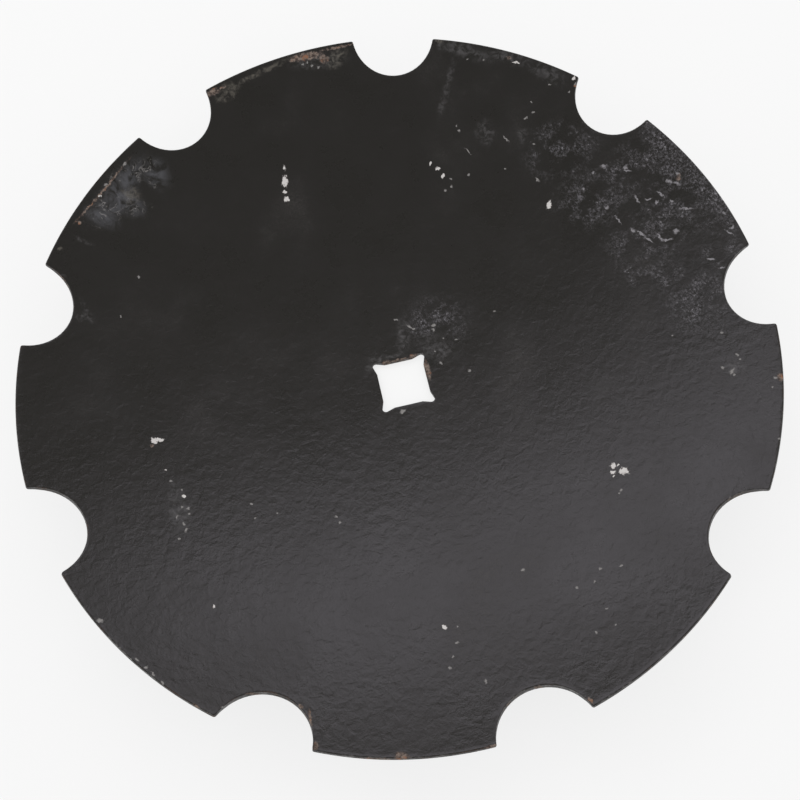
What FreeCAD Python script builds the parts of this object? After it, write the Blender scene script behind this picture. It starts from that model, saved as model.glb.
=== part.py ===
"""Notched harrow disc blade: one dished steel disc with a square axle hole.

The blade is pressed from flat plate, so its walls stand square to the dished surface: the rim's edge
and the notch walls point at the centre of the dish's sphere. The frame has +Z along the disc's axis
with the hollow side up, and the square hole's sides lie along X and Y. The origin is on the axis, at
the height of the lower edge of the square hole's sides, where the blade rests on its rounded back.
"""
import FreeCAD, Part
import math
import os

import Sketcher

doc = FreeCAD.newDocument("harrow_disc_blade")

# Driving dimensions, in millimetres and degrees.
DIMENSIONS = {
    "rim_diameter": 558.8,          # 22 in, across the rim
    "dish_radius": 565.5,           # inside radius of the dish, which makes it 73 mm (2-7/8 in) deep
    "plate_thickness": 4.8,         # 3/16 in plate
    "edge_land": 3.0,               # height of the rim's edge, left by the bevel on the rounded back
    "bevel_width": 9.0,             # width of that bevel
    "axle_hole_width": 38.5,        # across the hole's sides, for a 1-1/2 in square axle
    "relief_start": 11.5,           # from the middle of a side to where it starts to flare out
    "relief_centre": 18.6,          # from the hole's middle lines to the centre of a corner's round end
    "relief_radius": 2.8,           # radius of that round end
    "notch_centre_radius": 281.3,   # from the axis to the centre of a notch, just outside the rim
    "notch_radius": 33.6,
    "notch_corner_radius": 1.5,     # round on each tooth's two corners
}

# The notches follow each other at about 40 degrees, but not evenly: the blank was indexed roughly
# between punches, and the sixth notch came early.
NOTCH_ANGLES = [-2.5, 38.7, 78.5, 118.8, 159.0, 195.3, 238.9, 276.9, 317.4]

# Each cutter stands this far clear of both faces of the plate.
CUTTER_CLEARANCE = 10.0

sheet = doc.addObject("Spreadsheet::Sheet", "sheet")
sheet.Label = "dimensions"
rows = dict(DIMENSIONS)
for number, angle in enumerate(NOTCH_ANGLES, start=1):
    rows[f"notch_angle_{number}"] = angle
for row, (name, value) in enumerate(rows.items(), start=1):
    sheet.set(f"A{row}", name)
    sheet.set(f"B{row}", str(value))
    sheet.setAlias(f"B{row}", name)
doc.recompute()

# Height of the sphere's centre above the plane that the hole's lower edges rest on.
SPHERE_HEIGHT = "sqrt(pow(sheet.dish_radius + sheet.plate_thickness; 2) - pow(sheet.axle_hole_width / 2; 2))"


def origin_feature(body, role):
    """The body's own origin plane or axis with this role."""
    return next(item for item in body.Origin.OriginFeatures if item.Role == role)


def new_sketch(body, name, plane):
    """An empty sketch on one of the body's origin planes."""
    sketch = body.newObject("Sketcher::SketchObject", name)
    sketch.AttachmentSupport = [(origin_feature(body, plane), "")]
    sketch.MapMode = "FlatFace"
    return sketch


def drive(sketch, name, expression, *constraint):
    """Add a dimension to a sketch, name it and bind it to the sheet."""
    index = sketch.addConstraint(Sketcher.Constraint(*constraint))
    sketch.renameConstraint(index, name)
    sketch.setExpression(f"Constraints.{name}", expression)


def point(x, y):
    return FreeCAD.Vector(x, y, 0)


def dish_section(body):
    """Half of the plate's section, from the axis out to the rim: two arcs about one centre, the rim's
    edge square to them, and the bevel that is ground on the rounded back."""
    inside = DIMENSIONS["dish_radius"]
    outside = inside + DIMENSIONS["plate_thickness"]
    land = inside + DIMENSIONS["edge_land"]
    height = math.sqrt(outside ** 2 - (DIMENSIONS["axle_hole_width"] / 2) ** 2)
    rim = math.asin(DIMENSIONS["rim_diameter"] / 2 / land)
    bevel = rim - DIMENSIONS["bevel_width"] / outside

    def on_sphere(radius, angle):
        return point(radius * math.sin(angle), height - radius * math.cos(angle))

    sketch = new_sketch(body, "dish_section", "XZ_Plane")
    down = -math.pi / 2
    centre = point(0, height)
    up = point(0, 0) + FreeCAD.Vector(0, 0, 1)
    inner = sketch.addGeometry(Part.ArcOfCircle(Part.Circle(centre, up, inside), down, down + rim))
    outer = sketch.addGeometry(Part.ArcOfCircle(Part.Circle(centre, up, outside), down, down + bevel))
    axis = sketch.addGeometry(Part.LineSegment(on_sphere(outside, 0), on_sphere(inside, 0)))
    edge = sketch.addGeometry(Part.LineSegment(on_sphere(inside, rim), on_sphere(land, rim)))
    back = sketch.addGeometry(Part.LineSegment(on_sphere(land, rim), on_sphere(outside, bevel)))
    ray = sketch.addGeometry(Part.LineSegment(centre, on_sphere(land, rim)), True)

    vertical = -2
    sketch.addConstraint([
        Sketcher.Constraint("Coincident", inner, 3, outer, 3),
        Sketcher.Constraint("PointOnObject", inner, 3, vertical),
        Sketcher.Constraint("Coincident", axis, 1, outer, 1),
        Sketcher.Constraint("Coincident", axis, 2, inner, 1),
        Sketcher.Constraint("PointOnObject", inner, 1, vertical),
        Sketcher.Constraint("PointOnObject", outer, 1, vertical),
        Sketcher.Constraint("Coincident", edge, 1, inner, 2),
        Sketcher.Constraint("Coincident", edge, 2, back, 1),
        Sketcher.Constraint("Coincident", back, 2, outer, 2),
        Sketcher.Constraint("Coincident", ray, 1, inner, 3),
        Sketcher.Constraint("Coincident", ray, 2, edge, 2),
        Sketcher.Constraint("PointOnObject", edge, 1, ray),
    ])
    drive(sketch, "sphere_height", SPHERE_HEIGHT, "DistanceY", -1, 1, inner, 3, height)
    drive(sketch, "inside_radius", "sheet.dish_radius", "Radius", inner, inside)
    drive(sketch, "outside_radius", "sheet.dish_radius + sheet.plate_thickness", "Radius", outer, outside)
    drive(sketch, "rim_radius", "sheet.rim_diameter / 2", "DistanceX", -1, 1, edge, 2,
          DIMENSIONS["rim_diameter"] / 2)
    drive(sketch, "land", "sheet.edge_land", "Distance", edge, DIMENSIONS["edge_land"])
    drive(sketch, "bevel", "sheet.bevel_width", "Distance", back, DIMENSIONS["bevel_width"])
    return sketch


def square_section(body):
    """The square of the axle hole."""
    half = DIMENSIONS["axle_hole_width"] / 2
    corners = [point(-half, -half), point(half, -half), point(half, half), point(-half, half)]
    sketch = new_sketch(body, "axle_square", "XY_Plane")
    for start, end in zip(corners, corners[1:] + corners[:1]):
        sketch.addGeometry(Part.LineSegment(start, end))
    for side in range(4):
        sketch.addConstraint(Sketcher.Constraint("Coincident", side, 2, (side + 1) % 4, 1))
    sketch.addConstraint([
        Sketcher.Constraint("Horizontal", 0),
        Sketcher.Constraint("Vertical", 1),
        Sketcher.Constraint("Horizontal", 2),
        Sketcher.Constraint("Vertical", 3),
        Sketcher.Constraint("Symmetric", 0, 1, 2, 1, -1, 1),
    ])
    drive(sketch, "width", "sheet.axle_hole_width", "DistanceX", 0, 1, 0, 2, 2 * half)
    drive(sketch, "depth", "sheet.axle_hole_width", "DistanceY", 1, 1, 1, 2, 2 * half)
    return sketch


def relief_section(body):
    """One corner of the axle hole: both sides flare out to a round end, which keeps the plate from
    cracking at the corner. It is drawn for the corner at +X and +Y."""
    half = DIMENSIONS["axle_hole_width"] / 2
    start = DIMENSIONS["relief_start"]
    middle = DIMENSIONS["relief_centre"]
    radius = DIMENSIONS["relief_radius"]
    # Where a line from the side's flare point touches the round end.
    reach = math.hypot(middle - start, middle - half)
    touch = math.atan2(half - middle, start - middle) - math.acos(radius / reach)
    end = point(middle + radius * math.cos(touch), middle + radius * math.sin(touch))
    mirrored = point(end.y, end.x)

    sketch = new_sketch(body, "corner_relief", "XY_Plane")
    across = sketch.addGeometry(Part.LineSegment(point(half, start), point(start, half)))
    flare = sketch.addGeometry(Part.LineSegment(point(start, half), end))
    circle = Part.Circle(point(middle, middle), FreeCAD.Vector(0, 0, 1), radius)
    opposite = math.atan2(mirrored.y - middle, mirrored.x - middle)
    lobe = sketch.addGeometry(Part.ArcOfCircle(circle, opposite, touch))
    other = sketch.addGeometry(Part.LineSegment(mirrored, point(half, start)))
    sketch.addConstraint([
        Sketcher.Constraint("Coincident", across, 2, flare, 1),
        Sketcher.Constraint("Coincident", other, 2, across, 1),
        Sketcher.Constraint("Tangent", flare, 2, lobe, 2),
        Sketcher.Constraint("Tangent", other, 1, lobe, 1),
    ])
    drive(sketch, "side_y", "sheet.axle_hole_width / 2", "DistanceY", -1, 1, flare, 1, half)
    drive(sketch, "flare_x", "sheet.relief_start", "DistanceX", -1, 1, flare, 1, start)
    drive(sketch, "side_x", "sheet.axle_hole_width / 2", "DistanceX", -1, 1, other, 2, half)
    drive(sketch, "flare_y", "sheet.relief_start", "DistanceY", -1, 1, other, 2, start)
    drive(sketch, "lobe_x", "sheet.relief_centre", "DistanceX", -1, 1, lobe, 3, middle)
    drive(sketch, "lobe_y", "sheet.relief_centre", "DistanceY", -1, 1, lobe, 3, middle)
    drive(sketch, "lobe_radius", "sheet.relief_radius", "Radius", lobe, radius)
    return sketch


def cut_through(body, sketch, name):
    """Cut a sketch on the XY plane right through the plate."""
    pocket = body.newObject("PartDesign::Pocket", name)
    pocket.Profile = sketch
    pocket.Type = "ThroughAll"
    pocket.Midplane = True
    return pocket


def punch_notch(body, number):
    """One rounded notch: a cylinder whose axis runs through the centre of the dish's sphere."""
    tilt = "asin(sheet.notch_centre_radius / sheet.dish_radius)"
    turn = f"sheet.notch_angle_{number} * 1 deg"
    reach = f"(sheet.dish_radius - {CUTTER_CLEARANCE})"
    place = (
        f"create(<<placement>>; create(<<vector>>; "
        f"{reach} * sin({tilt}) * cos({turn}); "
        f"{reach} * sin({tilt}) * sin({turn}); "
        f"{SPHERE_HEIGHT} - {reach} * cos({tilt})); "
        f"create(<<rotation>>; {turn}; 180 deg - {tilt}; 0 deg))"
    )
    cutter = body.newObject("PartDesign::SubtractiveCylinder", f"notch_{number}")
    cutter.AttachmentSupport = [(origin_feature(body, "XY_Plane"), "")]
    cutter.MapMode = "FlatFace"
    cutter.setExpression("Radius", "sheet.notch_radius")
    cutter.setExpression("Height", f"sheet.plate_thickness + {2 * CUTTER_CLEARANCE}")
    cutter.setExpression("AttachmentOffset", place)
    return cutter


def tooth_corner_edges(shape):
    """Names of the short edges where a notch wall meets the rim's edge: one at each tooth corner."""
    sphere_centre = FreeCAD.Vector(0, 0, SPHERE_CENTRE_Z)
    names = []
    for index, edge in enumerate(shape.Edges, start=1):
        if len(edge.Vertexes) != 2 or abs(edge.Length - DIMENSIONS["edge_land"]) > 0.2:
            continue
        first, second = (vertex.Point for vertex in edge.Vertexes)
        along = (second - first).normalize()
        outward = (first - sphere_centre).normalize()
        near_rim = math.hypot(first.x, first.y) > DIMENSIONS["rim_diameter"] / 2 - 5
        if near_rim and abs(along.dot(outward)) > 0.99:
            names.append(f"Edge{index}")
    return names


blade = doc.addObject("PartDesign::Body", "disc_blade")
blade.Label = "disc_blade"

dish = blade.newObject("PartDesign::Revolution", "dish")
dish.Profile = dish_section(blade)
dish.ReferenceAxis = (dish.Profile[0], ["V_Axis"])
dish.Angle = 360
doc.recompute()
SPHERE_CENTRE_Z = dish.Profile[0].getDatum("sphere_height").Value
volumes = [dish.Shape.Volume]

hole = cut_through(blade, square_section(blade), "axle_hole")
doc.recompute()
volumes.append(hole.Shape.Volume)

relief = cut_through(blade, relief_section(blade), "corner_relief_cut")
doc.recompute()
volumes.append(relief.Shape.Volume)

reliefs = blade.newObject("PartDesign::PolarPattern", "corner_reliefs")
reliefs.Originals = [relief]
reliefs.Axis = (origin_feature(blade, "Z_Axis"), [""])
reliefs.Angle = 360
reliefs.Occurrences = 4
blade.Tip = reliefs
doc.recompute()
volumes.append(reliefs.Shape.Volume)

for number in range(1, len(NOTCH_ANGLES) + 1):
    notch = punch_notch(blade, number)
    blade.Tip = notch
    doc.recompute()
    volumes.append(notch.Shape.Volume)

corners = blade.newObject("PartDesign::Fillet", "tooth_corners")
corner_edges = tooth_corner_edges(notch.Shape)
corners.Base = (notch, corner_edges)
corners.setExpression("Radius", "sheet.notch_corner_radius")
blade.Tip = corners
doc.recompute()
volumes.append(corners.Shape.Volume)

for item in doc.Objects:
    if "Invalid" in item.State or "Error" in item.State:
        raise RuntimeError(f"{item.Name} failed: {item.State}")
if any(after >= before for before, after in zip(volumes, volumes[1:])):
    raise RuntimeError(f"a cut removed nothing: {volumes}")
if len(corner_edges) != 2 * len(NOTCH_ANGLES):
    raise RuntimeError(f"{len(corner_edges)} tooth corners found")
shape = blade.Shape
if shape.isNull() or not shape.isValid() or len(shape.Solids) != 1:
    raise RuntimeError("the blade is not one valid solid")

os.makedirs("parts", exist_ok=True)
shape.exportStep(f"parts/{blade.Label}.step")
box = shape.BoundBox
print(f"{blade.Label}: {box.XLength:.2f} x {box.YLength:.2f} x {box.ZLength:.2f} mm, lowest {box.ZMin:.4f}, "
      f"{shape.Volume * 7.85e-6:.2f} kg in steel")
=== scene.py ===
"""Looks of a notched harrow disc blade: one dished steel disc, worn black paint, square axle hole."""
import bisect
import math

import bmesh
import bpy
from mathutils import Matrix, Vector, noise


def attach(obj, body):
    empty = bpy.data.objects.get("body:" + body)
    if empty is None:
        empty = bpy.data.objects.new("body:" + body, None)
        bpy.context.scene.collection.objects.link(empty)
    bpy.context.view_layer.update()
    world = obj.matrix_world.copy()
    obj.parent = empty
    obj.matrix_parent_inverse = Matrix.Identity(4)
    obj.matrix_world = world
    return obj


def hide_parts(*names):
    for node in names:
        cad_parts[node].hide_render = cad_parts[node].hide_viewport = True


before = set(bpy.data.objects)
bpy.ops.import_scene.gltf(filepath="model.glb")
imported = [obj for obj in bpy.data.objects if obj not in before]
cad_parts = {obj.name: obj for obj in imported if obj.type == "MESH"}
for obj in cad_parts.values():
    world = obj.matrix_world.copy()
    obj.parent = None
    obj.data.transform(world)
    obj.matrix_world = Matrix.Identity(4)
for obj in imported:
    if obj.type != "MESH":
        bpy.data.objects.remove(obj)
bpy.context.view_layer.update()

# ---------------------------------------------------------------------------------------------------
# The blade: a flat blank of 3/16 in steel plate, punched with nine rounded notches and a square hole
# for the axle, and pressed hot into a dish. Its cutting edge is bevelled on the rounded back, and the
# whole blade was dipped in black paint, which has worn through at the rim and chipped elsewhere.
# ---------------------------------------------------------------------------------------------------
MM = 0.001
DISH_RADIUS = 565.5             # of the hollow side, in mm, as are all the sizes that follow
PLATE = 4.8
RIM_RADIUS = 279.4
LAND = 3.0                      # what the bevel leaves of the plate's edge
BEVEL_WIDTH = 9.0
HOLE_HALF = 19.25
RELIEF_START = 11.5
RELIEF_CENTRE = 18.6
RELIEF_RADIUS = 2.8
NOTCH_CENTRE = 281.3
NOTCH_RADIUS = 33.6
CORNER_RADIUS = 1.5
NOTCH_ANGLES = [-2.5, 38.7, 78.5, 118.8, 159.0, 195.3, 238.9, 276.9, 317.4]

# The blade rests on the lower edge of the hole's sides, so the centre of the dish's sphere stands
# this high. Places on the dish are given by two angles: the tilt from the blade's axis, seen from
# that centre, and the turn about the axis.
SPHERE_HEIGHT = math.sqrt((DISH_RADIUS + PLATE) ** 2 - HOLE_HALF ** 2)
RIM_TILT = math.asin(RIM_RADIUS / (DISH_RADIUS + LAND))
NOTCH_TILT = math.asin(NOTCH_CENTRE / DISH_RADIUS)


def direction(tilt, turn):
    """The unit vector from the sphere's centre towards a place on the dish."""
    return Vector((math.sin(tilt) * math.cos(turn), math.sin(tilt) * math.sin(turn), -math.cos(tilt)))


def circle_on_dish(centre_tilt, radius, turn, side):
    """Tilt at which the ray at this turn meets a circle on the dish, on its near (-1) or far (+1) side.
    The circle's centre has a turn of 0."""
    up, out = math.cos(centre_tilt), math.sin(centre_tilt) * math.cos(turn)
    reach = math.cos(math.asin(radius / DISH_RADIUS)) / math.hypot(up, out)
    return math.atan2(out, up) + side * math.acos(min(1.0, reach))


# A tooth's corner is rounded by a small circle that touches the rim and the notch.
CORNER_TILT = RIM_TILT - CORNER_RADIUS / DISH_RADIUS
corner_reach = math.asin(NOTCH_RADIUS / DISH_RADIUS) + CORNER_RADIUS / DISH_RADIUS
CORNER_TURN = math.acos((math.cos(corner_reach) - math.cos(CORNER_TILT) * math.cos(NOTCH_TILT))
                        / (math.sin(CORNER_TILT) * math.sin(NOTCH_TILT)))
touch = direction(NOTCH_TILT, 0).slerp(direction(CORNER_TILT, CORNER_TURN),
                                       math.asin(NOTCH_RADIUS / DISH_RADIUS) / corner_reach)
TOUCH_TURN = math.atan2(touch.y, touch.x)


def edge_tilt(turn):
    """Tilt of the toothed outline at this turn."""
    from_notch = min(abs((turn - math.radians(angle) + math.pi) % math.tau - math.pi)
                     for angle in NOTCH_ANGLES)
    if from_notch < TOUCH_TURN:
        return circle_on_dish(NOTCH_TILT, NOTCH_RADIUS, from_notch, -1)
    if from_notch < CORNER_TURN:
        return circle_on_dish(CORNER_TILT, CORNER_RADIUS, from_notch - CORNER_TURN, 1)
    return RIM_TILT


def hole_tilt(turn):
    """Tilt of the square hole's outline at this turn, with the flared relief at each corner."""
    from_side = abs((turn + math.pi / 4) % (math.pi / 2) - math.pi / 4)
    lobe_distance = RELIEF_CENTRE * math.sqrt(2)
    from_corner = math.pi / 4 - from_side
    flare = math.hypot(RELIEF_CENTRE - RELIEF_START, RELIEF_CENTRE - HOLE_HALF)
    touch_angle = (math.atan2(HOLE_HALF - RELIEF_CENTRE, RELIEF_START - RELIEF_CENTRE)
                   - math.acos(RELIEF_RADIUS / flare))
    touch_x = RELIEF_CENTRE + RELIEF_RADIUS * math.sin(touch_angle)
    touch_y = RELIEF_CENTRE + RELIEF_RADIUS * math.cos(touch_angle)
    if from_side < math.atan2(RELIEF_START, HOLE_HALF):
        radius = HOLE_HALF / math.cos(from_side)
    elif from_side < math.atan2(touch_y, touch_x):
        slope = (touch_x - HOLE_HALF) / (touch_y - RELIEF_START)
        radius = ((HOLE_HALF - slope * RELIEF_START)
                  / (math.cos(from_side) - slope * math.sin(from_side)))
    else:
        half_chord = math.sqrt(RELIEF_RADIUS ** 2 - (lobe_distance * math.sin(from_corner)) ** 2)
        radius = lobe_distance * math.cos(from_corner) + half_chord
    return math.asin(radius / DISH_RADIUS)


# The mesh starts as a flat sheet of quads. Its columns run from the hole to the outline, spread
# evenly along the outline and crowded at the teeth's corners.
COLUMNS = 640
TURN_STEPS = 14400
CROWDING = 5                    # extra columns right at a corner, for each one elsewhere
CROWDED_LENGTH = 1.5
walked = [0.0]
for step in range(TURN_STEPS):
    turn, next_turn = (math.tau * (step + end) / TURN_STEPS for end in (0, 1))
    length = DISH_RADIUS * (direction(edge_tilt(next_turn), next_turn)
                            - direction(edge_tilt(turn), turn)).length
    from_corner = min(abs(abs((turn - math.radians(angle) + math.pi) % math.tau - math.pi) - CORNER_TURN)
                      for angle in NOTCH_ANGLES) * RIM_RADIUS
    walked.append(walked[-1] + length * (1 + CROWDING * math.exp(-(from_corner / CROWDED_LENGTH) ** 2)))
outline_turns = []
for column in range(COLUMNS + 1):
    goal = walked[-1] * column / COLUMNS
    step = min(bisect.bisect_right(walked, goal) - 1, TURN_STEPS - 1)
    part = (goal - walked[step]) / (walked[step + 1] - walked[step])
    outline_turns.append(math.tau * (step + part) / TURN_STEPS)

# Its rows go once round the plate's section: out along the hollow side, down the cut edge, back along
# the rounded side and up the hole's wall. Each row has a share of the way from the hole to the
# outline, how far it stands back from that cut, and its depth under its own side's surface.
HOLLOW_ROWS = 96
BACK_ROWS = 30
EDGE_ROUND = 0.7
ROUND_STEPS = 4


def side_rows(count):
    """Rows of one side, from the hole to the outline, with a small round at both cuts."""
    bend = [math.pi / 2 * step / ROUND_STEPS for step in range(ROUND_STEPS + 1)]
    hole_round = [(0, EDGE_ROUND * (1 - math.cos(a)), EDGE_ROUND * (1 - math.sin(a))) for a in bend]
    edge_round = [(1, -setback, depth) for share, setback, depth in reversed(hole_round)]
    return hole_round + [(row / count, 0, 0) for row in range(1, count)] + edge_round


section = [(share, setback, depth, 0) for share, setback, depth in side_rows(HOLLOW_ROWS)]
section += [(1, 0, 0, 0.5)]
section += [(share, setback, -depth, 1) for share, setback, depth in reversed(side_rows(BACK_ROWS))]
section += [(0, 0, 0, 0.5)]
section.append(section[0])


def plate_depth(tilt):
    """Thickness of the plate here: full, but less where the bevel thins it towards the rim."""
    to_rim = (RIM_TILT - tilt) * (DISH_RADIUS + PLATE)
    return LAND + (PLATE - LAND) * min(1.0, max(0.0, to_rim / BEVEL_WIDTH))


def pressed(column, row):
    """Where a crossing of the flat sheet goes on the dished blade."""
    share, setback, depth, through = section[row]
    outer_turn = outline_turns[column]
    turn = (1 - share) * math.tau * column / COLUMNS + share * outer_turn
    tilt = (1 - share) * hole_tilt(turn) + share * edge_tilt(outer_turn) + setback / DISH_RADIUS
    depth += through * plate_depth(tilt)
    return Vector((0, 0, SPHERE_HEIGHT)) + direction(tilt, turn) * (DISH_RADIUS + depth)


def from_cut(place):
    """Distance in mm along the plate to the nearest cut: the rim, a notch or the hole."""
    spoke = (place - Vector((0, 0, SPHERE_HEIGHT))).normalized()
    tilt, turn = math.acos(-spoke.z), math.atan2(spoke.y, spoke.x)
    cuts = [RIM_TILT - tilt, tilt - hole_tilt(turn)]
    cuts += [spoke.angle(direction(NOTCH_TILT, math.radians(angle))) - math.asin(NOTCH_RADIUS / DISH_RADIUS)
             for angle in NOTCH_ANGLES]
    return DISH_RADIUS * min(cuts)


# The press left slow waves in the hot plate, and rolling and scale left ripples and a coarse grain.
# They fade out before the cuts.
WAVE_LENGTH = 95
WAVE_HEIGHT = 0.25
RIPPLE_SIZE = (9, 16, 12)
RIPPLE_HEIGHT = 0.045
GRAIN_LENGTH = 6
GRAIN_HEIGHT = 0.03
FADE_LENGTH = 3
SAME_PLACE = 0.01               # corners of the sheet closer than this become one


def press_marks(place):
    """How far the plate's surface stands proud here, in mm."""
    waves = WAVE_HEIGHT * noise.noise(place / WAVE_LENGTH)
    ripples = RIPPLE_HEIGHT * noise.noise(Vector([part / size for part, size in zip(place, RIPPLE_SIZE)]))
    return waves + ripples + GRAIN_HEIGHT * noise.noise(place / GRAIN_LENGTH)


mesh = bmesh.new()
bmesh.ops.create_grid(mesh, x_segments=COLUMNS, y_segments=len(section) - 1, size=0.5)
rows = {}
for vertex in mesh.verts:
    column = round((vertex.co.x + 0.5) * COLUMNS)
    row = round((vertex.co.y + 0.5) * (len(section) - 1))
    vertex.co = pressed(column, row)
    rows[vertex] = row

# The first material covers the hollow side with its rounds, the third the back without its rounds,
# and the second the cut walls between them.
HOLLOW_END = HOLLOW_ROWS + 2 * ROUND_STEPS
BACK_START = HOLLOW_END + 2 + ROUND_STEPS
for face in mesh.faces:
    row = min(rows[vertex] for vertex in face.verts)
    face.material_index = 0 if row < HOLLOW_END else 2 if 0 <= row - BACK_START < BACK_ROWS else 1
bmesh.ops.remove_doubles(mesh, verts=mesh.verts, dist=SAME_PLACE)
bmesh.ops.recalc_face_normals(mesh, faces=mesh.faces)
mesh.normal_update()
cut_distance = mesh.verts.layers.float.new("from_cut")
for vertex in mesh.verts:
    vertex[cut_distance] = from_cut(vertex.co)
moves = {vertex: vertex.normal * press_marks(vertex.co) for vertex in mesh.verts}
for vertex, move in moves.items():
    vertex.co += move * min(1.0, max(0.0, vertex[cut_distance] / FADE_LENGTH))
bmesh.ops.scale(mesh, vec=(MM, MM, MM), verts=mesh.verts)

blade_data = bpy.data.meshes.new("dished_blade")
mesh.to_mesh(blade_data)
mesh.free()
blade_data.shade_smooth()
blade = bpy.data.objects.new("dished_blade", blade_data)
bpy.context.scene.collection.objects.link(blade)


def linear(hex_colour):
    """An sRGB hex colour as the linear colour that the shaders take."""
    channels = [int(hex_colour[place:place + 2], 16) / 255 for place in (1, 3, 5)]
    return [c / 12.92 if c <= 0.04045 else ((c + 0.055) / 1.055) ** 2.4 for c in channels] + [1.0]


def add_node(tree, kind, inputs=None, **settings):
    """Add a node with its settings; an input is given a value, or a link where it is a socket."""
    node = tree.nodes.new("ShaderNode" + kind)
    for name, value in settings.items():
        setattr(node, name, value)
    for socket, value in (inputs or {}).items():
        if isinstance(value, bpy.types.NodeSocket):
            tree.links.new(value, node.inputs[socket])
        else:
            node.inputs[socket].default_value = value
    return node


# The marks on the hollow side. Each is an oval: the place of its middle, its length and width, all in
# mm, and the turn of its length from +X in degrees.
CHIPS = [
    (-56, 195, 3.5, 2, 75), (-58, 184, 9, 4.5, 75), (-60, 176, 3, 2.5, 0), (-60, 170, 4, 4, 0),
    (64, 174, 3, 1.5, 75), (69, 169, 3.5, 2.6, -15), (72, 162, 3.5, 2.6, 75), (150, 112, 6, 4, 75),
    (-194, -14, 4.5, 4, -15), (-190, -14, 4, 3, -15), (-189, -38, 1.9, 1.9, 0), (-179, -61, 3, 1.9, -45),
    (137, -112, 3.8, 4.2, -15), (143, -118, 6, 4.8, -15), (135, -117, 3.5, 2.8, 0), (135, -120, 2, 1.6, -15),
    (141, -112, 2, 1.6, -15), (-14, -197, 3.4, 3, 75), (-167, -147, 2.8, 1.6, 90), (150, 227, 5.5, 1.5, -30),
    # The last chip here, at (-200, 182), is a painted highlight on the rust line across the upper-left
    # tooth.
    (191, 199, 2.4, 3, -75), (-200, 182, 2, 1.3, 45),
]
SPECKS = [
    (-6, -24, 4, 2.6, 15), (35, 42, 3, 2.6, -15), (34, 38, 2.4, 1.8, -15), (-236, -142, 3.2, 2.4, -15),
    # The first two specks here, at (-194, 191) and (-177, 206), are painted highlights on the same rust
    # line.
    (-194, 191, 2, 1.3, 45), (-177, 206, 3.4, 1.8, 45), (191, 195, 1.6, 1.6, 0),
    (78, 158, 1.8, 1.8, 0), (77, 152, 1.8, 1.8, 0), (71, 150, 1.8, 1.8, 0), (93, 157, 2, 1.6, 15),
    (123, 152, 1.4, 1.4, 0), (146, 135, 4, 1.2, -60), (-186, -47, 1.7, 1.7, 0), (-180, -56, 1.3, 1.3, 0),
    (-181, -69, 1.6, 1.6, 0), (-177, -71, 2, 1.8, 0), (-177, -75, 1.6, 1.4, 0), (-185, -76, 1.5, 3, -15),
    (-181, -82, 1.5, 1.6, -15), (-180, -87, 1.5, 3, -15), (-185, -93, 1.3, 1.3, 0), (-185, 119, 1.8, 1.8, 0),
    (-203, 88, 1.3, 1.3, 0), (146, -121, 2, 1.2, -30), (136, -132, 1.8, 1.8, 0), (134, -134, 1.3, 1.3, 0),
    (209, -26, 1.4, 1.4, 0), (241, -37, 1.7, 1.4, -30), (244, -58, 2.4, 1.6, -60), (245, -62, 1.5, 1.6, 0),
    (232, -64, 1.8, 1.8, 0), (237, -69, 1.5, 4.6, -45), (237, -72, 2, 1.6, -30), (260, -85, 1.4, 1.6, 0),
    (256, -91, 1.4, 1.6, 0), (245, -129, 1.5, 1.6, 0), (215, -160, 1.3, 1.4, 0), (-5, -199, 1.6, 1.2, 0),
    (4, -239, 2, 2, 0), (-8, -210, 2, 1.2, -15), (-13, -218, 1.6, 1.2, 0), (-17, -225, 1.6, 1.6, 0),
    (51, -171, 2.4, 1.7, -15), (103, -184, 1.8, 1.8, 0), (117, -186, 1.6, 1.2, 0), (96, -192, 1.5, 1.2, 0),
    (83, -193, 1.7, 1.7, 0), (97, -212, 1.5, 1.2, 0), (99, -224, 1.2, 1.2, 0), (85, -226, 1.6, 1.6, 0),
    (-133, -75, 1.3, 1.3, 0), (-132, -87, 1.2, 1.2, 0), (-116, -86, 1.2, 1.2, 0), (-74, -98, 2, 1.2, -15),
    (-72, -103, 1.8, 1.2, -15), (33, 9, 2, 1.8, -15), (54, -4, 1.8, 1.8, 0), (86, 40, 1.9, 1.4, -15),
    (16, 45, 6, 1.1, -45), (6, 54, 3.5, 1.1, -30), (18, 43, 1.4, 2.4, 75), (40, 29, 1.2, 1.2, 0),
    (50, 25, 1.5, 1.2, 0), (31, 20, 1.2, 1.2, 0), (92, 197, 2, 1.4, 75), (93, 193, 1.6, 2, -15),
    (148, 185, 3, 1.2, 15), (155, 187, 2, 1.8, 0), (155, 195, 1.2, 1.2, 0), (129, 175, 6, 1, -60),
    (150, 163, 2.4, 1.5, -15), (97, 175, 6, 1.1, -60), (125, 237, 2, 1.4, -15), (112, 242, 1.5, 1.4, 0),
    (172, 202, 2.5, 1, -15), (185, 191, 1.2, 1.2, 0), (-18, 269, 1.5, 1.4, 0), (-15, 266, 2, 1.4, 0),
    (-10, 264, 1.5, 1.4, 0), (-22, 268, 1.2, 1.2, 0), (-219, -172, 2.2, 1.3, -45), (-215, -173, 3, 1, -60),
    (-210, -179, 1.7, 1.7, 0), (-206, -184, 3.4, 1, -60), (-201, -191, 2.8, 1.2, -60),
    (-166, -215, 1.6, 1.6, 0),
]
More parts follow.
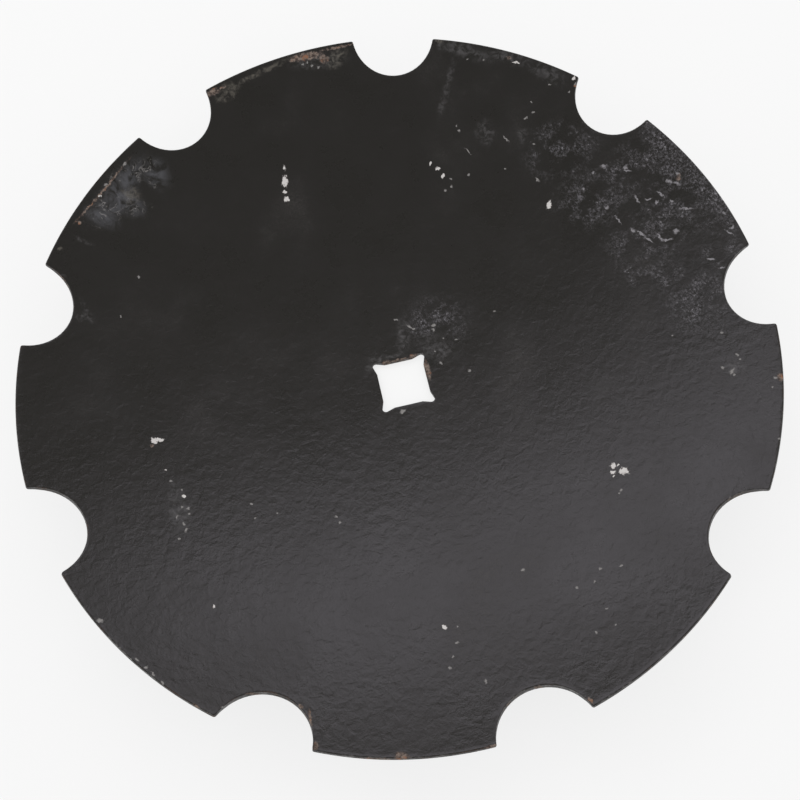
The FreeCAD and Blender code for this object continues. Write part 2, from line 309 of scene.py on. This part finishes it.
# Painted highlights: long thin glints, painted light grey on the leathery paint of one tooth.
PAINTED_GLINTS = [
    (214, 115, 5.5, 1.4, -30), (213, 118, 2.5, 3, 75), (189, 124, 2.5, 1.6, -30), (179, 115, 1.6, 1.6, -15),
    (198, 126, 2.5, 4.6, 75), (240, 94, 4.5, 2.2, -45), (245, 90, 5.5, 2, -60), (215, 91, 6.5, 1.4, -75),
    (223, 87, 5, 1.2, -15), (232, 87, 6.5, 1.4, -60), (228, 82, 3, 1.6, 45), (238, 78, 3, 1.6, -30),
    (246, 68, 8.5, 1.2, -30), (192, 93, 2.5, 2.4, -30), (198, 80, 7.5, 1, -75), (206, 68, 4, 2.2, -45),
    (211, 63, 7.5, 1.2, -60), (215, 56, 7.5, 1.2, -60), (223, 54, 6.5, 1.2, -75), (227, 50, 6.5, 1.6, -15),
    (235, 54, 3.5, 3.2, -30), (251, 22, 5, 1.2, -30), (256, 12, 3.5, 1.2, -30), (268, 36, 7, 1, -60),
    (247, 97, 3, 1.6, -30), (271, 39, 2, 2.4, -30), (269, 52, 3, 1.2, -75),
]
RUST = [
    (-196, -18, 2.4, 2.2, 0), (-182, -210, 5.5, 1.7, -45), (-166, -218, 2.8, 3.3, 30),
    (-147, -211, 9, 1.2, -15), (-118, -226, 3.3, 2, -60), (-113, -234, 9.5, 1.6, 90),
    (-112, -252, 4, 4.5, 0), (37, -251, 6, 2, -15), (66, -266, 4.6, 2, -60), (-3, -278, 7.6, 1.8, 0),
    (-60, -271, 8, 6, -15), (-78, -268, 31, 1.6, -15), (263, -86, 4, 5.4, 0),
    (-9, 19, 8, 4.4, -15), (12, 20, 8, 3.8, 0), (1, 20, 14.5, 1.6, 0), (21, 6, 15.5, 4.8, 90),
    (247, 93, 3, 3.4, 0), (248, 96, 2, 2, 0), (-218, 162, 3, 2, 45), (-197, 186, 60, 1.5, 45),
    (192, 193, 2, 5, 60), (-98, 256, 11, 4, 15), (-92, 258, 10, 1.4, 15), (-18, 273, 25, 5, 0),
    (-4, 269, 7.5, 5.6, -15), (9, 275, 28, 1.4, 0), (-29, 272, 5, 2.8, 0), (145, 232, 4, 2, -30),
    (-59, 184, 3, 2.6, 75),
]
OLIVE_DIRT = [
    (-83, 259, 12, 6.2, 0), (7, 268, 17, 9.4, 30), (91, 261, 10, 2.8, -15), (-89, 253, 15, 7, 15),
    (-56, 267, 50, 3.4, 15), (-234, 142, 4, 2.2, 30), (-178, 183, 12, 11, 45),
]
SMOKE = [
    (-185, 188, 58, 15, 45), (-156, 199, 18, 21, 0), (-202, 166, 22, 13, -30), (-181, 176, 22, 16, -30),
    (-188, 179, 42, 15, 45),
]
HAZE = [
    (144, 233, 30, 8, -30), (171, 212, 35, 9, -45), (110, 249, 52, 8, -30), (92, 229, 38, 5, 60),
    (114, 184, 12, 16, 0), (142, 174, 8, 11, -15), (-8, 268, 34, 9, 0), (-17, 24, 11, 8, 0),
    (-23, 18, 8, 5, -15), (-4, 24, 15, 3, 0), (9, 39, 9, 26, -15), (32, 23, 27, 16, -45),
    (-226, 88, 10, 6.4, -15), (-218, 148, 12, 2.6, -30), (-226, 98, 3, 11, 15), (-237, 121, 4, 2.4, 0),
    (240, -66, 14, 10, -45), (-183, -68, 12, 30, 0),
]
SCUFFED_BANDS = [(245, 124, 50, 15, -60), (263, 80, 74, 15, -75)]
SCUFFED_PATCHES = [
    (240, 110, 50, 40, -75), (258, 70, 50, 26, -75), (211, 113, 32, 41, -30), (234, 68, 47, 41, -30),
    (208, 54, 47, 25, -30), (208, 28, 53, 24, -30), (259, 26, 25, 26, 0), (169, 151, 50, 40, -15),
    (182, 104, 49, 41, -15), (235, -6, 40, 44, -30), (40, 45, 46, 36, -15),
]


def reach_of(tree, turned, marks):
    """How far a place is out from the nearest mark: 0 at its middle and 1 at its outline."""
    reach = None
    for x, y, length, width, turn in marks:
        cosine, sine = math.cos(math.radians(turn)), math.sin(math.radians(turn))
        if turn not in turned:
            spun = add_node(tree, "Mapping", {
                "Vector": turned["place"], "Rotation": (0, 0, -math.radians(turn))}).outputs[0]
            turned[turn] = add_node(tree, "VectorMath", {0: spun, 1: (1, 1, 0)},
                                    operation="MULTIPLY").outputs[0]
        middle = (-2 * (x * cosine + y * sine) / length, -2 * (y * cosine - x * sine) / width, 0)
        near = add_node(tree, "VectorMath", {0: turned[turn], 1: (2 / length, 2 / width, 0), 2: middle},
                        operation="MULTIPLY_ADD").outputs[0]
        away = add_node(tree, "VectorMath", {0: near}, operation="LENGTH").outputs["Value"]
        reach = away if reach is None else add_node(
            tree, "Math", {0: reach, 1: away}, operation="MINIMUM").outputs[0]
    return reach


def worn(tree, reach, grit, bite, soft):
    """1 inside a mark and 0 outside. The grit eats into the mark's edge, further the larger its bite,
    and the edge is soft over the last part of the reach."""
    eaten = add_node(tree, "Math", {0: grit, 1: bite, 2: reach}, operation="MULTIPLY_ADD").outputs[0]
    middle = 1 + bite / 2
    return add_node(tree, "MapRange", {
        "Value": eaten, "From Min": middle + soft, "From Max": middle - soft},
        interpolation_type="SMOOTHSTEP").outputs[0]


def strong(tree, *patterns):
    """A mask that is 1 where every pattern is strong. A pattern is a mask, or a value with the level
    where it starts to count, the level where it counts most, and how much that is."""
    mask = None
    for pattern in patterns:
        if isinstance(pattern, tuple):
            value, start, full, most = pattern
            pattern = add_node(tree, "MapRange", {
                "Value": value, "From Min": start, "From Max": full, "To Max": most},
                interpolation_type="SMOOTHSTEP").outputs[0]
        mask = pattern if mask is None else add_node(
            tree, "Math", {0: mask, 1: pattern}, operation="MULTIPLY").outputs[0]
    return mask


def from_fold(tree, place, size, roughness, distortion):
    """How far cloudy noise is from its middle level: 0 along winding folds, this many mm apart."""
    cloudy = add_node(tree, "TexNoise", {"Vector": place, "Scale": 1 / size, "Detail": 3.0,
                                         "Roughness": roughness, "Distortion": distortion}).outputs[0]
    uneven = add_node(tree, "Math", {0: cloudy, 1: 0.5}, operation="SUBTRACT").outputs[0]
    return add_node(tree, "Math", {0: uneven}, operation="ABSOLUTE").outputs[0]


def lay_over(tree, coat, mask, colour, roughness):
    """Lay a finish over the coat so far where its mask is 1."""
    coat["Base Color"] = add_node(tree, "Mix", {0: mask, 6: coat["Base Color"], 7: colour},
                                  data_type="RGBA").outputs[2]
    coat["Roughness"] = add_node(tree, "Mix", {0: mask, 2: coat["Roughness"], 3: roughness}).outputs[0]


# The rust of a blade stored outdoors: a thin brown bloom in blotches of 2.6 mm, paler and pinkish where
# it is rubbed, with a few orange grains.
def lay_rust(tree, coat, place, mask):
    blotches = add_node(tree, "TexNoise", {
        "Vector": place, "Scale": 1 / 2.6, "Detail": 3.0, "Roughness": 0.7}).outputs[0]
    brown = add_node(tree, "Mix", {
        0: strong(tree, (blotches, 0.36, 0.64, 1)), 6: linear("#41362f"), 7: linear("#8a7a6f")},
        data_type="RGBA").outputs[2]
    grains = add_node(tree, "TexNoise", {
        "Vector": place, "Scale": 1 / 4.5, "Detail": 2.0, "Roughness": 0.6}).outputs[0]
    orange = add_node(tree, "Mix", {
        0: strong(tree, (grains, 0.56, 0.7, 1)), 6: brown, 7: linear("#92674c")},
        data_type="RGBA").outputs[2]
    lay_over(tree, coat, mask, orange, 0.85)


# Everything that wore the paint of the hollow side: smoky film and dried dirt, scuffing that left the paint
# leathery with grey flecks, rust, and chips down to bright steel; over it go painted highlights, light grey
# glints and bright sparkle. Returns where it is leathery.
def lay_wear_and_painted_glints(tree, coat, place, grit):
    # The marks' outlines are ragged: pushed up to 1.7 mm aside, back and forth every 2.5 mm.
    push = add_node(tree, "TexNoise", {"Vector": place, "Scale": 1 / 2.5, "Detail": 3.0}).outputs["Color"]
    push = add_node(tree, "VectorMath", {0: push, 1: (0.5, 0.5, 0.5)}, operation="SUBTRACT").outputs[0]
    ragged = {"place": add_node(tree, "VectorMath", {0: push, 1: (3.4, 3.4, 0), 2: place},
                                operation="MULTIPLY_ADD").outputs[0]}

    # Haze and dirt are a mist with grains of 5 mm; the smoke is 13 mm wisps and thin winding threads.
    clusters = add_node(tree, "TexNoise", {
        "Vector": place, "Scale": 1 / 14, "Detail": 3.0, "Roughness": 0.6}).outputs[0]
    mist = add_node(tree, "TexNoise", {"Vector": place, "Scale": 1 / 5, "Detail": 6.0, "Roughness": 0.72,
                                       "Distortion": 0.6}).outputs[0]
    haze = worn(tree, reach_of(tree, ragged, HAZE), clusters, 1.6, 0.8)
    lay_over(tree, coat, strong(tree, haze, (mist, 0.4, 0.66, 0.5)), linear("#6c6a6a"), 0.5)
    dirt = worn(tree, reach_of(tree, ragged, OLIVE_DIRT), grit, 1.2, 0.5)
    lay_over(tree, coat, strong(tree, dirt, (mist, 0.38, 0.62, 0.7)), linear("#6b665a"), 0.8)
    wisps = add_node(tree, "TexNoise", {"Vector": place, "Scale": 1 / 13, "Detail": 5.0,
                                        "Roughness": 0.62, "Distortion": 1.4}).outputs[0]
    smoke = worn(tree, reach_of(tree, ragged, SMOKE), wisps, 1.6, 0.6)
    lay_over(tree, coat, strong(tree, smoke, (wisps, 0.38, 0.66, 0.5)), linear("#6e6f74"), 0.5)
    threads = strong(tree, smoke, (from_fold(tree, place, 8, 0.5, 1.2), 0.03, 0, 0.7),
                     (clusters, 0.44, 0.58, 1))
    lay_over(tree, coat, threads, linear("#979390"), 0.5)

    # Creases of the leathery paint run along the rim, 2 mm apart and 5 mm long; its flecks are 2.2 mm.
    patch = worn(tree, reach_of(tree, ragged, SCUFFED_PATCHES), clusters, 1.2, 0.6)
    patch = strong(tree, patch, (clusters, 0.42, 0.6, 1))
    band = worn(tree, reach_of(tree, ragged, SCUFFED_BANDS), clusters, 1.0, 0.5)
    scuffed = add_node(tree, "Math", {0: patch, 1: band}, operation="MAXIMUM").outputs[0]
    along_rim = add_node(tree, "VectorMath", {0: ragged[-75], 1: (1 / 5, 1 / 2, 0)},
                         operation="MULTIPLY").outputs[0]
    leathery = strong(tree, scuffed, (from_fold(tree, along_rim, 1, 0.6, 0.5), 0, 0.08, 1))
    flecks = add_node(tree, "TexNoise", {"Vector": place, "Scale": 1 / 2.2, "Detail": 3.0,
                                         "Roughness": 0.7, "Distortion": 0.4}).outputs[0]
    lay_over(tree, coat, strong(tree, leathery, (flecks, 0.4, 0.62, 0.75)), linear("#7a777b"), 0.42)
    # Painted sparkle: the brightest flecks of the scuffed paint are painted light grey highlights; the
    # darker grey flecks above are the scuffed paint itself.
    lay_over(tree, coat, strong(tree, scuffed, (flecks, 0.64, 0.7, 1)), linear("#9d9a9d"), 0.4)

    lay_rust(tree, coat, place, worn(tree, reach_of(tree, ragged, RUST), grit, 1.3, 0.35))
    # Painted highlights: the glints are painted light grey into the paint's colour.
    glints = worn(tree, reach_of(tree, ragged, PAINTED_GLINTS), grit, 2.2, 0.5)
    lay_over(tree, coat, glints, linear("#8d8a8d"), 0.4)
    specks = worn(tree, reach_of(tree, ragged, SPECKS), grit, 1.8, 0.5)
    lay_over(tree, coat, specks, linear("#8f8c89"), 0.5)
    chips = reach_of(tree, ragged, CHIPS)
    lay_over(tree, coat, worn(tree, chips, grit, 0.6, 0.3), linear("#5a4a42"), 0.7)
    lay_over(tree, coat, worn(tree, chips, grit, 2.4, 0.2), linear("#dcd8d5"), 0.45)
    return leathery


def new_material(name):
    """A new material, its tree of nodes, and the place on the blade in mm."""
    material = bpy.data.materials.new(name)
    material.use_nodes = True
    tree = material.node_tree
    coordinates = add_node(tree, "TexCoord").outputs["Object"]
    place = add_node(tree, "Mapping", {"Vector": coordinates, "Scale": (1 / MM,) * 3}).outputs[0]
    return material, tree, place


def finish(tree, coat, reliefs):
    """Give the surface its coat, and its reliefs: patterns, each with its height in mm."""
    height = 0.0
    for pattern, rise in reliefs:
        height = add_node(tree, "Math", {0: pattern, 1: rise, 2: height},
                          operation="MULTIPLY_ADD").outputs[0]
    bump = add_node(tree, "Bump", {"Strength": 1.0, "Distance": MM, "Height": height}).outputs[0]
    for socket, source in (*coat.items(), ("Normal", bump)):
        tree.links.new(source, tree.nodes["Principled BSDF"].inputs[socket])


# Bitumen-black dipping paint: low gloss, over rolled steel, dusty in clouds. It sagged before it dried,
# into orange peel and fine creases, and it mirrors the sky only softly: grey where it faces a light.
def dipped_paint(name, hollow_side):
    material, tree, place = new_material(name)
    grit = add_node(tree, "TexNoise", {
        "Vector": place, "Scale": 1 / 1.5, "Detail": 4.0, "Roughness": 0.65}).outputs[0]
    clouds = add_node(tree, "TexNoise", {
        "Vector": place, "Scale": 1 / 60, "Detail": 6.0, "Roughness": 0.62}).outputs[0]
    black = add_node(tree, "Mix", {0: clouds, 6: linear("#2c2b27"), 7: linear("#363431")}, data_type="RGBA")
    dull = add_node(tree, "Math", {0: strong(tree, (clouds, 0.3, 0.8, 0.08)), 1: 0.26}, operation="ADD")
    coat = {"Base Color": black.outputs[2], "Roughness": dull.outputs[0]}
    dust = strong(tree, (clouds, 0.55, 0.85, 1), (grit, 0.35, 0.7, 0.18))
    lay_over(tree, coat, dust, linear("#77736d"), 0.6)

    # Within 2 mm of the cuts the paint is rubbed, here to grey steel and there to brown rust.
    edge = add_node(tree, "Attribute", attribute_name="from_cut").outputs["Fac"]
    edge_grit = add_node(tree, "Math", {0: grit, 1: 3.0, 2: edge}, operation="MULTIPLY_ADD").outputs[0]
    edge_worn = strong(tree, (edge_grit, 2.1, 1.3, 0.6))
    patches = add_node(tree, "TexNoise", {
        "Vector": place, "Scale": 1 / 26, "Detail": 3.0, "Roughness": 0.6}).outputs[0]
    lay_over(tree, coat, strong(tree, edge_worn, (patches, 0.47, 0.62, 1)), linear("#84817e"), 0.45)
    lay_over(tree, coat, strong(tree, edge_worn, (patches, 0.48, 0.36, 1)), linear("#6b5140"), 0.8)

    # Swells 6 mm across stand up to 0.3 mm proud, and creases 0.015 mm deep wind between them. The
    # grain is 1.3 mm wide and 0.035 mm deep, and the creases of the leathery paint are 0.12 mm deep.
    swells = add_node(tree, "TexNoise", {"Vector": place, "Scale": 1 / 6, "Detail": 3.0,
                                         "Roughness": 0.55, "Distortion": 0.4}).outputs[0]
    creases = strong(tree, (from_fold(tree, place, 9, 0.55, 0.8), 0, 0.09, 1))
    grain = add_node(tree, "TexNoise", {
        "Vector": place, "Scale": 1 / 1.3, "Detail": 2.0, "Roughness": 0.6}).outputs[0]
    reliefs = [(swells, 0.3), (creases, 0.015), (grain, 0.035)]
    if hollow_side:
        reliefs.append((lay_wear_and_painted_glints(tree, coat, place, grit), 0.12))
    tree.nodes["Principled BSDF"].inputs["Specular Tint"].default_value = linear("#f4effc")
    finish(tree, coat, reliefs)
    return material


# The cut edges: sheared and ground steel under thin paint, rubbed back to grey metal and rust.
def rubbed_edge():
    material, tree, place = new_material("rubbed_cut_steel")
    grit = add_node(tree, "TexNoise", {
        "Vector": place, "Scale": 1 / 1.8, "Detail": 4.0, "Roughness": 0.65}).outputs[0]
    patches = add_node(tree, "TexNoise", {
        "Vector": place, "Scale": 1 / 18, "Detail": 3.0, "Roughness": 0.6}).outputs[0]
    coat = {"Base Color": linear("#2a2927"), "Roughness": 0.5}
    rubbed = strong(tree, (patches, 0.42, 0.6, 1), (grit, 0.4, 0.6, 1))
    lay_over(tree, coat, rubbed, linear("#6d6a68"), 0.4)
    lay_rust(tree, coat, place, strong(tree, (patches, 0.5, 0.36, 1), (grit, 0.45, 0.6, 1)))
    lay_rust(tree, coat, place, worn(tree, reach_of(tree, {"place": place}, RUST), grit, 0.8, 0.3))
    finish(tree, coat, [(grit, 0.12)])
    return material


blade_data.materials.append(dipped_paint("black_dipping_paint_worn_with_painted_glints", True))
blade_data.materials.append(rubbed_edge())
blade_data.materials.append(dipped_paint("black_dipping_paint", False))

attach(blade, "root")
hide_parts("disc_blade")

# ---------------------------------------------------------------------------------------------------
# The studio: white paper on the floor, a white surround, one wide soft lamp behind the blade, and a
# black cloth hung round and over both, open behind the lamp. The paint mirrors the lamp, the cloth and,
# past the ends of the lamp, the surround.
# ---------------------------------------------------------------------------------------------------
FLOOR_SIZE = 12.0
SHOWN_PAPER = 0.75              # how much of the paper shows as plain white; the rest shows its shade
ROOM_LIGHT = 0.8
LAMP_AZIMUTH = math.radians(-8)     # from +Y towards +X
LAMP_HEIGHT = math.radians(52.5)    # angle above the floor, seen from the blade
LAMP_DISTANCE = 2.0
LAMP_SIZE = (2.4, 0.56)
LAMP_WATTS = 5.2


def seen_or_mirrored(tree):
    """1 for rays that show the surround itself, straight, in a mirror or through glass."""
    rays = add_node(tree, "LightPath")
    seen = add_node(tree, "Math", {0: rays.outputs["Is Camera Ray"], 1: rays.outputs["Is Glossy Ray"]},
                    operation="MAXIMUM").outputs[0]
    return add_node(tree, "Math", {0: seen, 1: rays.outputs["Is Transmission Ray"]},
                    operation="MAXIMUM").outputs[0]


floor_mesh = bmesh.new()
bmesh.ops.create_grid(floor_mesh, x_segments=1, y_segments=1, size=FLOOR_SIZE / 2)
floor_data = bpy.data.meshes.new("floor")
floor_mesh.to_mesh(floor_data)
floor_mesh.free()
floor = bpy.data.objects.new("floor", floor_data)
bpy.context.scene.collection.objects.link(floor)

paper = bpy.data.materials.new("white_paper")
paper.use_nodes = True
tree = paper.node_tree
sheet = tree.nodes["Principled BSDF"]
sheet.inputs["Base Color"].default_value = linear("#f4f4f4")
sheet.inputs["Roughness"].default_value = 0.9
glow = add_node(tree, "Emission", {"Color": (1, 1, 1, 1), "Strength": 1.0})
shown = add_node(tree, "Math", {0: seen_or_mirrored(tree), 1: SHOWN_PAPER}, operation="MULTIPLY")
mixed = add_node(tree, "MixShader", {0: shown.outputs[0], 1: sheet.outputs[0], 2: glow.outputs[0]})
tree.links.new(mixed.outputs[0], tree.nodes["Material Output"].inputs["Surface"])
floor_data.materials.append(paper)

world = bpy.data.worlds.new("surround")
bpy.context.scene.world = world
world.use_nodes = True
tree = world.node_tree
level = add_node(tree, "MapRange", {"Value": seen_or_mirrored(tree), "To Min": ROOM_LIGHT, "To Max": 1.0})
tree.nodes["Background"].inputs["Color"].default_value = (1, 1, 1, 1)
tree.links.new(level.outputs[0], tree.nodes["Background"].inputs["Strength"])

lamp_direction = Vector((math.cos(LAMP_HEIGHT) * math.sin(LAMP_AZIMUTH),
                         math.cos(LAMP_HEIGHT) * math.cos(LAMP_AZIMUTH), math.sin(LAMP_HEIGHT)))
lamp_data = bpy.data.lights.new("soft_lamp", "AREA")
lamp_data.shape = "RECTANGLE"
lamp_data.size, lamp_data.size_y = LAMP_SIZE
lamp_data.energy = LAMP_WATTS
lamp = bpy.data.objects.new("soft_lamp", lamp_data)
lamp.location = lamp_direction * LAMP_DISTANCE
lamp.rotation_euler = lamp_direction.to_track_quat("Z", "Y").to_euler()
lamp.visible_camera = False
bpy.context.scene.collection.objects.link(lamp)

# The cloth is a dome with its skirt off the floor and a window behind the lamp. Only reflections meet
# it, so it takes no light from the blade.
CLOTH_RADIUS = 2.6
CLOTH_SKIRT = math.radians(6)
WINDOW_HALF_WIDTH = math.radians(38)
WINDOW_HALF_HEIGHT = math.radians(8)
cloth_mesh = bmesh.new()
bmesh.ops.create_uvsphere(cloth_mesh, u_segments=180, v_segments=90, radius=CLOTH_RADIUS)
cut_away = []
for face in cloth_mesh.faces:
    middle = face.calc_center_median().normalized()
    above = math.asin(middle.z)
    beside = abs((math.atan2(middle.x, middle.y) - LAMP_AZIMUTH + math.pi) % math.tau - math.pi)
    if above < CLOTH_SKIRT or (abs(above - LAMP_HEIGHT) < WINDOW_HALF_HEIGHT and beside < WINDOW_HALF_WIDTH):
        cut_away.append(face)
bmesh.ops.delete(cloth_mesh, geom=cut_away, context="FACES")
cloth_data = bpy.data.meshes.new("black_cloth")
cloth_mesh.to_mesh(cloth_data)
cloth_mesh.free()
cloth = bpy.data.objects.new("black_cloth", cloth_data)
bpy.context.scene.collection.objects.link(cloth)
cloth.visible_camera = cloth.visible_diffuse = cloth.visible_shadow = cloth.visible_transmission = False
felt = bpy.data.materials.new("black_felt")
felt.use_nodes = True
felt.node_tree.nodes["Principled BSDF"].inputs["Base Color"].default_value = linear("#0a0a0a")
felt.node_tree.nodes["Principled BSDF"].inputs["Roughness"].default_value = 1.0
cloth_data.materials.append(felt)

# The camera looks down on the hollow side from a little to the front. Its two directions are unit
# vectors, and its lens and sensor are in mm.
CAMERA_PLACE = Vector((-28.5, -241.7, 678.1)) * MM
CAMERA_RIGHT = Vector((0.9725, -0.2329, -0.0034))
CAMERA_BACK = Vector((-0.0712, -0.3108, 0.9478))
camera_data = bpy.data.cameras.new("camera")
camera_data.lens = 39.8
camera_data.sensor_width = 36.0
camera_data.shift_x = -0.045
camera = bpy.data.objects.new("camera", camera_data)
camera.location = CAMERA_PLACE
camera.rotation_euler = Matrix((CAMERA_RIGHT, CAMERA_BACK.cross(CAMERA_RIGHT),
                                CAMERA_BACK)).transposed().to_euler()
bpy.context.scene.collection.objects.link(camera)
bpy.context.scene.camera = camera

bpy.context.scene.view_settings.view_transform = "Standard"
